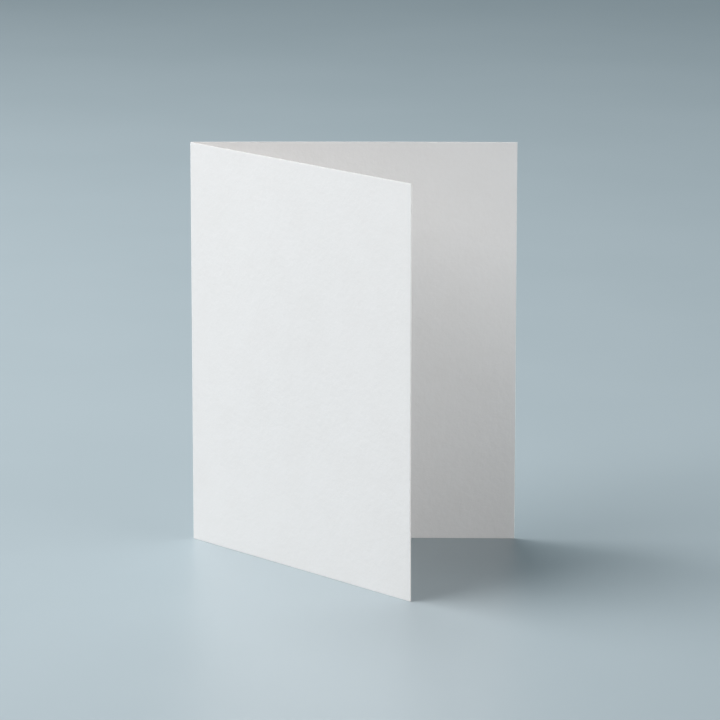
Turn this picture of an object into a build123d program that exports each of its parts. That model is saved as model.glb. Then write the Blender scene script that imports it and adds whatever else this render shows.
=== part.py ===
from build123d import *
import os
from math import atan, degrees, radians

# A blank greeting card: one sheet of thick white board, scored down the middle,
# folded once and stood upright on its cut edge, partly open. All lengths are in
# millimetres and all angles in degrees.

# Sheet
panel_width = 101.6  # from the nose of the fold to a free edge, with the card closed
card_height = 127.0  # along the fold
board_caliper = 0.45  # thickness of the board

# Fold
opening_angle = 47.7  # between the two panels, each taken from the fold to its free edge
fold_inner_radius = 0.12  # bend of the inner face, at the bottom of the score
bead_height = 0.25  # ridge of loosened plies that the score raises inside the fold

# Set of the board
back_bow = 0.6  # how far the middle of the back panel stands behind its two ends

# Sizes that follow from those above
fold_outer_radius = fold_inner_radius + board_caliper
fold_middle_radius = fold_inner_radius + board_caliper / 2
panel_run = panel_width - fold_outer_radius
bow_turn = degrees(4 * atan(2 * back_bow / panel_run))
bow_radius = panel_run / radians(bow_turn)
fold_turn = 180 - opening_angle - bow_turn / 2


def board_section():
    """Section of the folded board, square to the fold, with the front panel on -Y."""
    with BuildSketch() as section:
        with BuildLine():
            front = PolarLine((0, 0), panel_run, 180 - opening_angle / 2)
            fold = JernArc(front @ 1, front % 1, fold_middle_radius, -fold_turn)
            JernArc(fold @ 1, fold % 1, bow_radius, -bow_turn)
        trace(line_width=board_caliper)
        with Locations(fold.center_point):
            Circle(fold_inner_radius + bead_height)
    return section.sketch


def folded_card():
    """The whole card, standing on Z = 0 with its footprint centred on the Z axis."""
    card = extrude(board_section(), amount=card_height)
    footprint = card.bounding_box().center()
    return Pos(-footprint.X, -footprint.Y) * card


os.makedirs("parts", exist_ok=True)
export_step(folded_card(), "parts/folded_card.step")
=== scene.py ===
"""A blank white greeting card, scored, folded once and stood upright, in a plain soft studio.

The card is made as a real one is: a flat blank is cut, its edges are eased by the blade, and it is then
folded round its score. Every pattern on the board reads the place that a point had on the flat blank, so
the tooth and the fibres follow the sheet round the fold. Lengths are in metres, and angles are in degrees
where they are named as sizes.
"""

import logging
import math
from collections.abc import Iterable, Mapping
from dataclasses import dataclass, field
from enum import Enum, IntEnum
from typing import Any

import bmesh
import bpy
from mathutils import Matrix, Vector


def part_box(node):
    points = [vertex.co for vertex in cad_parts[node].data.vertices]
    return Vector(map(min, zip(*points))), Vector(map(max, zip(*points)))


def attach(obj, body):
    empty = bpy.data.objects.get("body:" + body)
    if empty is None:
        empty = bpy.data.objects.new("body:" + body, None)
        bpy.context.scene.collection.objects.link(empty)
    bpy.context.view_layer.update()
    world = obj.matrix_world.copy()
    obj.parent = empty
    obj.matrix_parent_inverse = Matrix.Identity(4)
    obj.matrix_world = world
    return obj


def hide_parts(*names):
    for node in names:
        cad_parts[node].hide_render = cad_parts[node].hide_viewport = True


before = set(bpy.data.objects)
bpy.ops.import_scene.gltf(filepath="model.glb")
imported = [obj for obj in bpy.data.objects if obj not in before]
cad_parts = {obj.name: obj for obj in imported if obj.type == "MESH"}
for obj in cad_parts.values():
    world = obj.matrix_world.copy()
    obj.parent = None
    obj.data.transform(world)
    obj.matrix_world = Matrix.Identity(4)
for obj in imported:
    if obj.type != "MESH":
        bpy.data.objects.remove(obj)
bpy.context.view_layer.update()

log = logging.getLogger("greeting_card")

Colour = tuple[float, float, float]
Limits = tuple[float, float]

CARD_NODE = "folded_card"
CARD_BODY = "root"
BLANK_PLACE = "blank_place"  # the attribute that keeps each point's place on the flat blank
UP = Vector((0.0, 0.0, 1.0))
ACROSS = Vector((1.0, 0.0, 0.0))
WHITE: Colour = (1.0, 1.0, 1.0)


class Skin(IntEnum):
    """Which finish a face of the card takes, in the order of its material slots."""

    FACE = 0
    CUT = 1


class MixSocket(IntEnum):
    """The places of a Mix node's colour sockets, which share their names with its other sockets."""

    FACTOR = 0
    FIRST = 6
    SECOND = 7
    RESULT = 2


class Ray(Enum):
    """Kinds of ray that see the backdrop's tone, as Light Path names them."""

    CAMERA = "Is Camera Ray"
    GLOSSY = "Is Glossy Ray"
    TRANSMISSION = "Is Transmission Ray"


def heading(angle: float) -> Vector:
    """Unit vector in the card's section, at an angle in radians from the X axis."""
    return Vector((math.cos(angle), math.sin(angle), 0.0))


def ease(share: float) -> float:
    """Smooth step from 0 to 1 as the share goes from 0 to 1."""
    held = min(max(share, 0.0), 1.0)
    return held * held * (3.0 - 2.0 * held)


def spaced(start: float, end: float, step: float) -> list[float]:
    """Even places from start to end, both included, no further apart than step."""
    count = max(1, math.ceil((end - start) / step))
    return [start + (end - start) * index / count for index in range(count + 1)]


def opaque(colour: Colour) -> tuple[float, float, float, float]:
    """Colour with full alpha."""
    return (*colour, 1.0)


@dataclass(frozen=True)
class Marks:
    """What the marks of a soft random pattern are like."""

    size: float  # length of the largest marks
    layers: float = 2.0  # how many finer layers they have
    finer_share: float = 0.5  # how strong each finer layer is beside the one before


class Socket:
    """A value that a node gives. Python's operators on it add Math nodes."""

    def __init__(self, graph: "Graph", source: bpy.types.NodeSocket) -> None:
        """Keeps the graph that owns the socket and the socket itself."""
        self.graph = graph
        self.source = source

    def __add__(self, other: "Value") -> "Socket":
        """Sum with a number or another value."""
        return self.graph.math("ADD", self, other)

    def __radd__(self, other: "Value") -> "Socket":
        """Sum with the number on the left."""
        return self.graph.math("ADD", other, self)

    def __sub__(self, other: "Value") -> "Socket":
        """Difference from a number or another value."""
        return self.graph.math("SUBTRACT", self, other)

    def __rsub__(self, other: "Value") -> "Socket":
        """Difference of the number on the left from this value."""
        return self.graph.math("SUBTRACT", other, self)

    def __mul__(self, other: "Value") -> "Socket":
        """Product with a number or another value."""
        return self.graph.math("MULTIPLY", self, other)

    def __rmul__(self, other: "Value") -> "Socket":
        """Product with the number on the left."""
        return self.graph.math("MULTIPLY", other, self)

    def __pow__(self, other: "Value") -> "Socket":
        """Power of this value."""
        return self.graph.math("POWER", self, other)

    def __abs__(self) -> "Socket":
        """Size of this value without its sign."""
        return self.graph.math("ABSOLUTE", self)


Value = Socket | float


class Graph:
    """Builds the nodes of one material or of the world."""

    def __init__(self, tree: bpy.types.NodeTree) -> None:
        """Takes a node tree and empties it."""
        self.tree = tree
        tree.nodes.clear()

    @classmethod
    def of_material(cls, name: str) -> "tuple[bpy.types.Material, Graph]":
        """Starts a material.

        Args:
            name: What the new material is called.

        Returns:
            The material and its empty graph.
        """
        material = bpy.data.materials.new(name)
        material.use_nodes = True
        return material, cls(material.node_tree)

    def node(
        self,
        kind: str,
        settings: Mapping[str, Any] | None = None,
        inputs: Mapping[str | int, Any] | None = None,
        output: str | int = 0,
    ) -> Socket:
        """Adds one node.

        Args:
            kind: Blender's name for the node's type.
            settings: Values of the node's own properties, set before its sockets.
            inputs: Values or links of its input sockets, by name or place.
            output: Name or place of the output that is wanted.

        Returns:
            The wanted output.
        """
        made = self.tree.nodes.new(kind)
        for name, value in (settings or {}).items():
            setattr(made, name, value)
        for name, value in (inputs or {}).items():
            if isinstance(value, Socket):
                self.tree.links.new(value.source, made.inputs[name])
            else:
                made.inputs[name].default_value = value
        return Socket(self, made.outputs[output])

    def math(self, operation: str, *operands: Value) -> Socket:
        """Math node on one or two numbers or values."""
        return self.node("ShaderNodeMath", {"operation": operation}, dict(enumerate(operands)))

    def scaled(self, place: Socket, scale: tuple[float, float, float]) -> Socket:
        """Place with each of its parts times its own scale, which draws a pattern out where it is under 1."""
        return self.node("ShaderNodeVectorMath", {"operation": "MULTIPLY"}, {0: place, 1: scale})

    def mixed(self, factor: Value, first: Colour, second: Colour) -> Socket:
        """Mixes two colours.

        Args:
            factor: Share of the second colour, from 0 to 1.
            first: Colour at 0.
            second: Colour at 1.

        Returns:
            The mixed colour.
        """
        inputs = {
            MixSocket.FACTOR: factor,
            MixSocket.FIRST: opaque(first),
            MixSocket.SECOND: opaque(second),
        }
        return self.node("ShaderNodeMix", {"data_type": "RGBA"}, inputs, MixSocket.RESULT)

    def noise(self, place: Socket, marks: Marks) -> Socket:
        """Adds a soft random pattern.

        Args:
            place: Where the pattern is read.
            marks: What its marks are like.

        Returns:
            A value from 0 to 1, about a half on the whole.
        """
        inputs = {
            "Vector": place,
            "Scale": 1.0 / marks.size,
            "Detail": marks.layers,
            "Roughness": marks.finer_share,
        }
        return self.node("ShaderNodeTexNoise", None, inputs, "Fac")

    def share(self, value: Socket, limits: Limits) -> Socket:
        """Eases a value into a share.

        Args:
            value: What is measured.
            limits: The value that gives 0 and the value that gives 1.

        Returns:
            A smooth share from 0 to 1.
        """
        low, high = limits
        settings = {"interpolation_type": "SMOOTHSTEP"}
        inputs = {"Value": value, "From Min": low, "From Max": high}
        return self.node("ShaderNodeMapRange", settings, inputs, "Result")

    def blank_place(self) -> Socket:
        """Place on the flat blank: along it from the score, through the board and up it."""
        return self.node("ShaderNodeAttribute", {"attribute_name": BLANK_PLACE}, None, "Vector")

    def matte(
        self,
        colour: Socket,
        roughness: Value,
        height: Socket,
        depth: float,
        alpha: Value = 1.0,
    ) -> None:
        """Ends a matte material.

        Args:
            colour: Base colour.
            roughness: Roughness, the same all over or as a value.
            height: Relief of the surface, from 0 to 1.
            depth: How deep the relief is.
            alpha: How solid the surface is, from 0 to 1.
        """
        relief = {"Distance": depth, "Height": height}
        inputs = {
            "Base Color": colour,
            "Roughness": roughness,
            "Normal": self.node("ShaderNodeBump", None, relief, "Normal"),
            "Alpha": alpha,
        }
        self.finish(self.node("ShaderNodeBsdfPrincipled", None, inputs), "ShaderNodeOutputMaterial")

    def finish(self, shader: Socket, kind: str) -> None:
        """Links the shader to a new output node of that kind."""
        end = self.tree.nodes.new(kind)
        self.tree.links.new(shader.source, end.inputs["Surface"])


@dataclass(frozen=True)
class BoardFinish:
    """Uncoated white board with a felt tooth: the panels, the nose of the fold and the bead inside it."""

    white: Colour = (0.86, 0.86, 0.855)
    dull: Colour = (0.845, 0.843, 0.835)
    clouds: Marks = Marks(0.011, 4.0, 0.6)
    tooth: Marks = Marks(0.0016, 3.0, 0.55)
    grain: Marks = Marks(0.00026, 3.0, 0.6)
    fibres: Marks = Marks(0.0010, 4.0, 0.6)
    crush: Marks = Marks(0.00016, 3.0, 0.6)
    relief: float = 0.0001
    tooth_share: float = 0.8  # shares of the relief that each kind of mark makes
    grain_share: float = 0.08
    fibre_share: float = 0.024
    crush_share: float = 0.2
    fibre_sharpness: float = 20.0
    fibre_dulling: float = 0.25  # how much a fibre counts beside a cloud in the tone
    dull_limits: Limits = (0.35, 0.85)
    roughness: float = 0.79  # in the hollows of the tooth
    roughness_spread: float = 0.14  # added on its heights
    score_reach: float = 0.0009
    score_polish: float = 0.1  # taken off the roughness where the score has pressed the board
    crush_stretch_share: float = 0.12  # marks of the crush run along the score
    side_shift: float = 60.0  # keeps the pattern of one side of the board apart from the other's

    def material(self) -> bpy.types.Material:
        """Board with cloudy formation, felt tooth, fine fibres and a worked line at the score.

        Returns:
            The finished material.
        """
        material, graph = Graph.of_material("white_felt_board")
        place = graph.blank_place()
        sheet = graph.scaled(place, (1.0, self.side_shift, 1.0))
        tooth = graph.noise(sheet, self.tooth)
        fibre = self.fibre_lines(graph, sheet)
        score = self.score_line(graph, place)
        marks = self.tooth_share * tooth + self.grain_share * graph.noise(sheet, self.grain)
        worked = self.crush_share * score * self.crush_marks(graph, sheet)
        height = marks + self.fibre_share * fibre + worked
        clouded = graph.noise(sheet, self.clouds) + self.fibre_dulling * fibre
        colour = graph.mixed(graph.share(clouded, self.dull_limits), self.white, self.dull)
        roughness = self.roughness + self.roughness_spread * tooth - self.score_polish * score
        graph.matte(colour, roughness, height, self.relief)
        return material

    def fibre_lines(self, graph: Graph, sheet: Socket) -> Socket:
        """Thin curled lines of matted fibres, 1 on a fibre and 0 between them."""
        ridge = 1.0 - abs(2.0 * graph.noise(sheet, self.fibres) - 1.0)
        return ridge**self.fibre_sharpness

    def score_line(self, graph: Graph, place: Socket) -> Socket:
        """Share that is 1 along the score and fades to 0 where its reach ends."""
        along = graph.node("ShaderNodeSeparateXYZ", None, {"Vector": place}, "X")
        return 1.0 - graph.share(abs(along), (self.score_reach / 2, self.score_reach))

    def crush_marks(self, graph: Graph, sheet: Socket) -> Socket:
        """Short marks along the score, where fibres are stretched on the nose and crushed on the bead."""
        drawn = graph.scaled(sheet, (1.0, 1.0, self.crush_stretch_share))
        return graph.noise(drawn, self.crush)


@dataclass(frozen=True)
class CutEdgeFinish:
    """The board's plies, laid bare by the blade along the cut edges."""

    pale: Colour = (0.85, 0.848, 0.84)
    deep: Colour = (0.775, 0.768, 0.755)
    plies: Marks = Marks(0.00008, 3.0, 0.6)
    fray: Marks = Marks(0.00014, 4.0, 0.65)
    relief: float = 0.00002
    ply_share: float = 0.55  # share of the relief that the plies make, with the fray for the rest
    ply_stretch_share: float = 0.045  # plies run far along an edge and only a little way through the board
    pale_limits: Limits = (0.35, 0.6)
    roughness: float = 0.94

    def material(self) -> bpy.types.Material:
        """Cut edge with uneven plies, drawn out along it, and a short fray.

        Returns:
            The finished material.
        """
        material, graph = Graph.of_material("cut_board_edge")
        place = graph.blank_place()
        drawn = graph.scaled(place, (self.ply_stretch_share, 1.0, self.ply_stretch_share))
        plies, fray = graph.noise(drawn, self.plies), graph.noise(place, self.fray)
        height = self.ply_share * plies + (1.0 - self.ply_share) * fray
        colour = graph.mixed(graph.share(height, self.pale_limits), self.deep, self.pale)
        graph.matte(colour, self.roughness, height, self.relief)
        return material


@dataclass(frozen=True)
class SeamlessFinish:
    """Matte blue-grey seamless paper, as on the studio floor."""

    tone: Colour = (0.438, 0.519, 0.559)
    mottle: Colour = (0.425, 0.506, 0.545)
    mottling: Marks = Marks(0.12, 3.0)
    mottle_limits: Limits = (0.3, 0.7)
    grain: Marks = Marks(0.0011)
    relief: float = 0.00002
    roughness: float = 0.4
    fade: Limits = (1.4, 2.4)  # distances from the card over which the floor gives way to the backdrop

    def material(self) -> bpy.types.Material:
        """Seamless paper with a faint mottle and a fine grain, which fades out far from the card.

        Returns:
            The finished material.
        """
        material, graph = Graph.of_material("blue_grey_seamless")
        place = graph.node("ShaderNodeTexCoord", None, None, "Object")
        mottle = graph.share(graph.noise(place, self.mottling), self.mottle_limits)
        colour = graph.mixed(mottle, self.tone, self.mottle)
        distance = graph.node("ShaderNodeVectorMath", {"operation": "LENGTH"}, {0: place}, "Value")
        alpha = 1.0 - graph.share(distance, self.fade)
        graph.matte(colour, self.roughness, graph.noise(place, self.grain), self.relief, alpha)
        return material


@dataclass(frozen=True)
class Fold:
    """The bend that turns the flat blank into a standing card.

    A point of the blank's section is told by two lengths: along, from the score towards the back panel's
    free edge, and through, from the middle of the board towards the inside of the card.
    """

    panel_width: float = 0.1016
    caliper: float = 0.00045
    opening: float = 47.7
    inner_radius: float = 0.00012
    bead_height: float = 0.00025
    back_bow: float = 0.0006

    @property
    def outer_radius(self) -> float:
        """Radius of the nose."""
        return self.inner_radius + self.caliper

    @property
    def middle_radius(self) -> float:
        """Radius of the bend at the middle of the board."""
        return self.inner_radius + self.caliper / 2

    @property
    def panel_run(self) -> float:
        """Length of a panel from the end of the bend to its free edge."""
        return self.panel_width - self.outer_radius

    @property
    def bow_turn(self) -> float:
        """Angle that the bowed back panel turns through, in radians."""
        return 4.0 * math.atan(2.0 * self.back_bow / self.panel_run)

    @property
    def half_opening(self) -> float:
        """Angle from the card's middle plane to each panel, in radians."""
        return math.radians(self.opening) / 2

    @property
    def turn(self) -> float:
        """Angle that the bend turns through, in radians."""
        return math.pi - 2 * self.half_opening - self.bow_turn / 2

    @property
    def half_bend(self) -> float:
        """Length of board from the score to the end of the bend."""
        return self.middle_radius * self.turn / 2

    @property
    def half_blank(self) -> float:
        """Length of board from the score to a free edge."""
        return self.half_bend + self.panel_run

    @property
    def nose_angle(self) -> float:
        """Angle of the outward normal at the nose, in radians."""
        return math.pi + self.bow_turn / 4

    @property
    def bead_radius(self) -> float:
        """Radius of the bead that the score raises inside the fold."""
        return self.inner_radius + self.bead_height

    @property
    def bead_reach(self) -> float:
        """Length of board from the score to where the bead meets the inner face."""
        return self.half_bend + math.sqrt(self.bead_radius**2 - self.inner_radius**2)

    def outward(self, along: float) -> float:
        """Turns the board's outward normal as the fold does.

        Args:
            along: Distance from the score, positive on the back panel.

        Returns:
            Angle of the normal there, in radians.
        """
        bent = min(max(along, -self.half_bend), self.half_bend)
        bowed = max(along - self.half_bend, 0.0) * self.bow_turn / self.panel_run
        return self.nose_angle - bent / self.middle_radius - bowed

    def place(self, along: float, through: float) -> Vector:
        """Where a point of the flat section goes.

        Args:
            along: Distance from the score, positive on the back panel.
            through: Distance from the middle of the board, positive on the inside.

        Returns:
            Its place in the folded section, measured from the centre of the bend.
        """
        normal = heading(self.outward(along))
        past = abs(along) - self.half_bend
        if past <= 0.0:
            return (self.middle_radius - through) * normal
        if along < 0.0:
            return (self.middle_radius - through) * normal + past * heading(-self.half_opening)
        bow_radius = self.panel_run / self.bow_turn
        bow_centre = (self.middle_radius - bow_radius) * heading(self.outward(self.half_bend))
        return bow_centre + (bow_radius - through) * normal

    def bead_lift(self, along: float) -> Vector:
        """How far the inner face is raised by the score, where its plies stand up as a bead.

        Args:
            along: Distance from the score, positive on the back panel.

        Returns:
            The way from the plain inner face to the bead, or nothing past the bead's reach.
        """
        share = along / self.bead_reach
        if abs(share) >= 1.0:
            return Vector()
        half_angle = (math.pi - self.turn) / 2 + math.asin(self.inner_radius / self.bead_radius)
        crest = self.bead_radius * heading(self.nose_angle - math.pi + share * half_angle)
        return crest - self.place(along, self.caliper / 2)


@dataclass(frozen=True)
class Wave:
    """One slow wave in a board that has dried and been handled."""

    turns_across: float  # over the width of a panel
    turns_up: float  # over the height of the card
    start: float
    strength: float = 1.0

    def rise(self, wide: float, high: float) -> float:
        """Height of the wave at a share of the panel's width and a share of the card's height."""
        turns = self.turns_across * wide + self.turns_up * high
        return self.strength * math.sin(math.tau * turns + self.start)


@dataclass
class CardSheet:
    """The card itself: one blank of thick board, cut, scored and folded."""

    low: Vector
    height: float
    fold: Fold = field(default_factory=Fold)
    edge_ease: float = 0.00008
    edge_steps: int = 2
    edge_guard: float = 0.0002  # the faces divide this far from a cut edge, clear of its ease
    panel_step: float = 0.0025
    score_step: float = 0.00006
    divide_snap: float = 1e-8
    cut_lean: float = 45.0  # a face that leans this far from the board's own face is cut edge
    wave_depth: float = 0.00006
    wave_free: float = 0.002  # the board is true up to here from the score
    wave_full: float = 0.03  # and stands fully out of true from here
    waves: tuple[Wave, ...] = (Wave(0.9, 0.6, 0.7), Wave(0.7, -1.2, 2.3, 0.6))
    front_curl: float = 0.00015
    bead_ripple_share: float = 0.16
    bead_ripple_turns: tuple[int, ...] = (5, 9, 14)
    crisp_angle: float = 40.0
    face: BoardFinish = BoardFinish()
    cut: CutEdgeFinish = CutEdgeFinish()

    def build(self) -> bpy.types.Object:
        """Cuts the blank, folds it in its place in the frame and dresses it.

        Returns:
            The finished card.
        """
        blank = self.cut_blank()
        self.divide(blank, self.columns(), ACROSS)
        self.divide(blank, self.rows(), UP)
        self.mark_cut_edges(blank)
        self.fold_up(blank)
        self.keep_crisp(blank)
        mesh = bpy.data.meshes.new("card_sheet")
        blank.to_mesh(mesh)
        blank.free()
        for finish in (self.face, self.cut):
            mesh.materials.append(finish.material())
        card = bpy.data.objects.new("card_sheet", mesh)
        bpy.context.scene.collection.objects.link(card)
        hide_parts(CARD_NODE)
        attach(card, CARD_BODY)
        return card

    def cut_blank(self) -> bmesh.types.BMesh:
        """Cuts the flat blank and eases its edges.

        Returns:
            The blank, along X with the score at zero, its thickness on Y and its foot at zero.
        """
        blank = bmesh.new()
        bmesh.ops.create_cube(blank, size=1.0)
        size = Vector((2 * self.fold.half_blank, self.fold.caliper, self.height))
        bmesh.ops.scale(blank, vec=size, verts=blank.verts)
        bmesh.ops.translate(blank, vec=UP * (self.height / 2), verts=blank.verts)
        bmesh.ops.bevel(
            blank,
            geom=blank.edges[:],
            offset=self.edge_ease,
            offset_type="OFFSET",
            affect="EDGES",
            segments=self.edge_steps,
            profile=0.5,
            material=-1,
        )
        return blank

    def columns(self) -> list[float]:
        """Chooses where the blank is divided across.

        Returns:
            Places from the score: fine over the bead, then even, with one by each free edge.
        """
        score = self.fold.bead_reach
        free = self.fold.half_blank - self.edge_guard
        panel = spaced(2 * score, free, self.panel_step)
        return [-place for place in panel] + spaced(-score, score, self.score_step) + panel

    def rows(self) -> list[float]:
        """Heights on the blank that are divided: evenly, with one by each cut edge."""
        return spaced(self.edge_guard, self.height - self.edge_guard, self.panel_step)

    def divide(self, blank: bmesh.types.BMesh, places: Iterable[float], axis: Vector) -> None:
        """Divides the blank square to an axis.

        Args:
            blank: The flat blank.
            places: Distances along the axis.
            axis: Unit vector.
        """
        for place in places:
            bmesh.ops.bisect_plane(
                blank,
                geom=blank.verts[:] + blank.edges[:] + blank.faces[:],
                dist=self.divide_snap,
                plane_co=axis * place,
                plane_no=axis,
            )

    def mark_cut_edges(self, blank: bmesh.types.BMesh) -> None:
        """Gives the faces that the blade left their own finish.

        Args:
            blank: The blank, while it is flat.
        """
        blank.normal_update()
        level = math.cos(math.radians(self.cut_lean))
        for face in blank.faces:
            face.smooth = True
            face.material_index = Skin.FACE if abs(face.normal.y) > level else Skin.CUT

    def fold_up(self, blank: bmesh.types.BMesh) -> None:
        """Keeps each point's place on the blank, then moves it to its place on the standing card.

        Args:
            blank: The flat blank, with its divisions.
        """
        kept = blank.verts.layers.float_vector.new(BLANK_PLACE)
        half = self.fold.caliper / 2
        front_corner = self.fold.place(-self.fold.half_blank, -half)
        centre = Vector((self.low.x + self.fold.outer_radius, self.low.y - front_corner.y, self.low.z))
        for point in blank.verts:
            point[kept] = point.co
            along, through, up = point.co
            raised = max(through, 0.0) / half * self.bead_fullness(up) * self.fold.bead_lift(along)
            stand = self.out_of_true(along, up) * heading(self.fold.outward(along))
            point.co = centre + self.fold.place(along, through) + raised + stand + UP * up
        # Folding mirrors the blank, and its faces are turned round so that they point outwards again
        bmesh.ops.reverse_faces(blank, faces=blank.faces)
        blank.normal_update()

    def out_of_true(self, along: float, up: float) -> float:
        """How far the board stands out of true, from drying and handling.

        Args:
            along: Distance from the score, positive on the back panel.
            up: Height on the blank.

        Returns:
            Distance along the outward normal.
        """
        freed = ease((abs(along) - self.wave_free) / (self.wave_full - self.wave_free))
        wide, high = along / self.fold.panel_width, up / self.height
        rise = self.wave_depth * sum(wave.rise(wide, high) for wave in self.waves)
        if along < 0.0:
            belly = 1.0 - (2.0 * high - 1.0) ** 2  # full at half height, none at the head and the foot
            rise += self.front_curl * wide**2 * belly
        return freed * rise

    def bead_fullness(self, up: float) -> float:
        """Share of its full lift that the bead has at a height, as its plies stand up unevenly."""
        ripples = [math.sin(math.tau * turns * up / self.height + turns) for turns in self.bead_ripple_turns]
        return 1.0 - self.bead_ripple_share * (1.0 + sum(ripples) / len(ripples)) / 2

    def keep_crisp(self, blank: bmesh.types.BMesh) -> None:
        """Keeps the shading apart across sharp corners, such as the foot of the bead."""
        for edge in blank.edges:
            edge.smooth = edge.calc_face_angle(0.0) < math.radians(self.crisp_angle)


@dataclass
class Seamless:
    """The plain floor that the card stands on."""

    radius: float = 4.0
    segments: int = 128
    drop: float = 0.00002  # keeps the floor just clear of the card's lower edge
    finish: SeamlessFinish = SeamlessFinish()

    def build(self) -> bpy.types.Object:
        """Lays the floor out round the card.

        Returns:
            The floor.
        """
        disc = bmesh.new()
        bmesh.ops.create_circle(disc, cap_ends=True, segments=self.segments, radius=self.radius)
        bmesh.ops.translate(disc, vec=-self.drop * UP, verts=disc.verts)
        mesh = bpy.data.meshes.new("seamless_floor")
        disc.to_mesh(mesh)
        disc.free()
        mesh.materials.append(self.finish.material())
        floor = bpy.data.objects.new("seamless_floor", mesh)
        bpy.context.scene.collection.objects.link(floor)
        return floor


@dataclass(frozen=True)
class Softbox:
    """A rectangular soft lamp, placed in the picture's own directions from the card's foot."""

    name: str
    right: float
    away: float
    up: float
    width: float
    height: float
    power: float
    tint: Colour = WHITE
    mirrored: bool = True  # whether the floor's soft gloss shows it


@dataclass
class Studio:
    """Lamps, the even light of the room, and the camera."""

    azimuth: float = 24.2
    elevation: float = 12.25
    lens: float = 216.5  # in millimetres, as the sensor is
    sensor: float = 36.0
    aim: Vector = field(default_factory=lambda: Vector((0.0095, 0.0039, 0.0619)))
    distance: float = 1.34
    room_light: float = 0.12
    room_tint: Colour = (0.75, 0.917, 1.0)
    backdrop: Colour = (0.12, 0.203, 0.24)
    lamp_aim: float = 0.05  # height on the card that every lamp faces
    lamps: tuple[Softbox, ...] = (
        Softbox(
            name="left_softbox",
            right=-1.075,
            away=-0.094,
            up=1.042,
            width=1.9,
            height=0.9,
            power=28.4,
            tint=(1.0, 0.957, 0.943),
        ),
        Softbox(
            name="back_softbox",
            right=-0.375,
            away=0.65,
            up=1.3,
            width=0.9,
            height=0.7,
            power=8.15,
        ),
        Softbox(
            name="right_bounce",
            right=1.669,
            away=-0.674,
            up=0.17,
            width=1.6,
            height=0.34,
            power=22.6,
            tint=(1.0, 0.936, 0.911),
            mirrored=False,
        ),
    )

    def toward(self, right: float, away: float, up: float) -> Vector:
        """Vector in the frame from lengths to the right, away and up, as the picture shows them."""
        turn = math.radians(self.azimuth)
        return right * heading(turn) + away * heading(turn + math.pi / 2) + up * UP

    def hang_lamps(self) -> list[bpy.types.Object]:
        """Hangs each softbox, facing the card, out of the camera's sight."""
        return [self.hang(lamp) for lamp in self.lamps]

    def hang(self, lamp: Softbox) -> bpy.types.Object:
        """Makes one softbox.

        Args:
            lamp: Its place, size and power.

        Returns:
            The light object.
        """
        light = bpy.data.lights.new(lamp.name, "AREA")
        light.shape = "RECTANGLE"
        light.size, light.size_y = lamp.width, lamp.height
        light.energy = lamp.power
        light.color = lamp.tint
        hung = bpy.data.objects.new(lamp.name, light)
        hung.location = self.toward(lamp.right, lamp.away, lamp.up)
        hung.rotation_mode = "QUATERNION"
        hung.rotation_quaternion = (self.lamp_aim * UP - hung.location).to_track_quat("-Z", "Y")
        hung.visible_camera = False
        hung.visible_glossy = lamp.mirrored
        bpy.context.scene.collection.objects.link(hung)
        return hung

    def light_room(self) -> None:
        """Even light from all round, with the backdrop's tone where a ray sees past the floor."""
        world = bpy.data.worlds.new("studio_room")
        world.use_nodes = True
        graph = Graph(world.node_tree)
        seen: Value = 0.0
        for ray in Ray:
            seen = graph.math("MAXIMUM", seen, graph.node("ShaderNodeLightPath", None, None, ray.value))
        kind = "ShaderNodeBackground"
        room = graph.node(kind, None, {"Color": opaque(self.room_tint), "Strength": self.room_light})
        tone = graph.node(kind, None, {"Color": opaque(self.backdrop), "Strength": 1.0})
        either = graph.node("ShaderNodeMixShader", None, {0: seen, 1: room, 2: tone})
        graph.finish(either, "ShaderNodeOutputWorld")
        bpy.context.scene.world = world

    def set_camera(self) -> bpy.types.Object:
        """Sets the camera at the picture's angle.

        Returns:
            The camera object, which is the scene's camera.
        """
        lens = bpy.data.cameras.new("picture_camera")
        lens.lens = self.lens
        lens.sensor_width = self.sensor
        camera = bpy.data.objects.new("picture_camera", lens)
        level = math.radians(self.elevation)
        back = self.toward(0.0, -math.cos(level), math.sin(level))
        camera.location = self.aim + self.distance * back
        camera.rotation_mode = "QUATERNION"
        camera.rotation_quaternion = (-back).to_track_quat("-Z", "Y")
        bpy.context.scene.collection.objects.link(camera)
        bpy.context.scene.camera = camera
        return camera


def main() -> None:
    """Builds the card, the floor and the studio, in that order, and reports each piece."""
    logging.basicConfig(level=logging.INFO, format="%(message)s")
    bpy.context.scene.view_settings.view_transform = "Standard"
    low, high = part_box(CARD_NODE)
    card = CardSheet(low, high.z - low.z).build()
    log.info("%s: %d faces", card.name, len(card.data.polygons))
    floor = Seamless().build()
    log.info("%s: stage", floor.name)
    studio = Studio()
    for lamp in studio.hang_lamps():
        log.info("%s: %.1f W", lamp.name, lamp.data.energy)
    studio.light_room()
    camera = studio.set_camera()
    log.info("%s: %.0f mm lens", camera.name, camera.data.lens)


if __name__ == "__main__":
    main()
